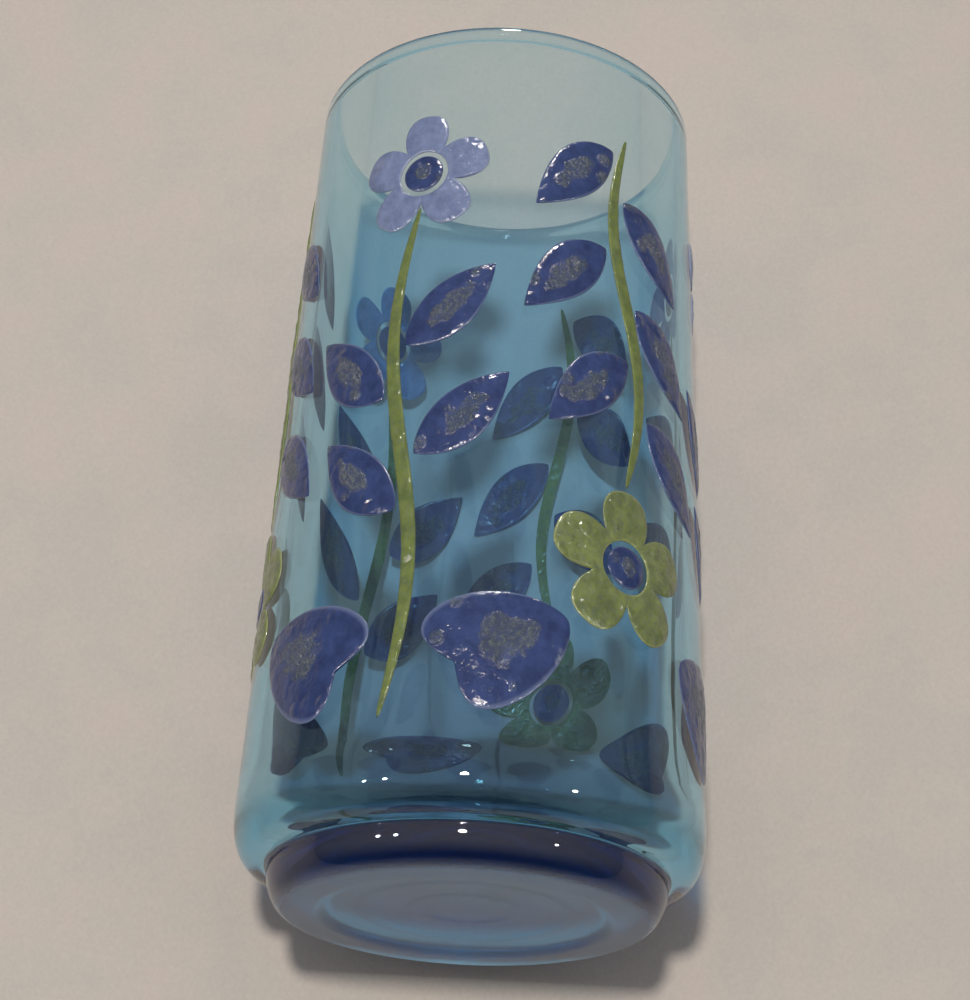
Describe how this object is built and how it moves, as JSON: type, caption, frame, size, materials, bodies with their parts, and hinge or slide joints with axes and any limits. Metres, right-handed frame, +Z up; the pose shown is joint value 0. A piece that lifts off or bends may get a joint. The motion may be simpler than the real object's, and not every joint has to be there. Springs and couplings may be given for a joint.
{
  "type": "juice glass",
  "caption": "Tall blue drinking glass with a faintly tapered wall, stepped heel, recessed base and fire-polished lip, decorated with raised fired enamel flower sprigs.",
  "frame": {"origin": "centre of the ring on the underside that the glass stands on", "axes": "+Z up along the axis of the glass, from the underside to the lip; +X towards the middle of one upright sprig"},
  "size_m": [0.0648, 0.0651, 0.128],
  "materials": {
    "blue_glass": "clear blue, fire-polished",
    "blue_enamel": "glossy raised enamel, blue-violet",
    "lilac_enamel": "glossy raised enamel, lilac",
    "green_enamel": "glossy raised enamel, yellow-green",
    "olive_enamel": "glossy raised enamel, olive"
  },
  "bodies": {
    "root": {"glass_body": "blue_glass", "green_flower_1_centre": "blue_enamel", "green_flower_1_petals": "green_enamel", "green_flower_2_centre": "blue_enamel", "green_flower_2_petals": "green_enamel", "green_flower_3_centre": "blue_enamel", "green_flower_3_petals": "green_enamel", "heart_leaf_left_1": "blue_enamel", "heart_leaf_left_2": "blue_enamel", "heart_leaf_left_3": "blue_enamel", "heart_leaf_right_1": "blue_enamel", "heart_leaf_right_2": "blue_enamel", "heart_leaf_right_3": "blue_enamel", "lilac_flower_1_centre": "blue_enamel", "lilac_flower_1_petals": "lilac_enamel", "lilac_flower_2_centre": "blue_enamel", "lilac_flower_2_petals": "lilac_enamel", "lilac_flower_3_centre": "blue_enamel", "lilac_flower_3_petals": "lilac_enamel", "pendant_leaf_1_1": "blue_enamel", "pendant_leaf_1_2": "blue_enamel", "pendant_leaf_1_3": "blue_enamel", "pendant_leaf_1_4": "blue_enamel", "pendant_leaf_1_5": "blue_enamel", "pendant_leaf_1_6": "blue_enamel", "pendant_leaf_2_1": "blue_enamel", "pendant_leaf_2_2": "blue_enamel", "pendant_leaf_2_3": "blue_enamel", "pendant_leaf_2_4": "blue_enamel", "pendant_leaf_2_5": "blue_enamel", "pendant_leaf_2_6": "blue_enamel", "pendant_leaf_3_1": "blue_enamel", "pendant_leaf_3_2": "blue_enamel", "pendant_leaf_3_3": "blue_enamel", "pendant_leaf_3_4": "blue_enamel", "pendant_leaf_3_5": "blue_enamel", "pendant_leaf_3_6": "blue_enamel", "pendant_stem_1": "olive_enamel", "pendant_stem_2": "olive_enamel", "pendant_stem_3": "olive_enamel", "upright_leaf_1_1": "blue_enamel", "upright_leaf_1_2": "blue_enamel", "upright_leaf_1_3": "blue_enamel", "upright_leaf_1_4": "blue_enamel", "upright_leaf_2_1": "blue_enamel", "upright_leaf_2_2": "blue_enamel", "upright_leaf_2_3": "blue_enamel", "upright_leaf_2_4": "blue_enamel", "upright_leaf_3_1": "blue_enamel", "upright_leaf_3_2": "blue_enamel", "upright_leaf_3_3": "blue_enamel", "upright_leaf_3_4": "blue_enamel", "upright_stem_1": "olive_enamel", "upright_stem_2": "olive_enamel", "upright_stem_3": "olive_enamel"}
  },
  "joints": []
}
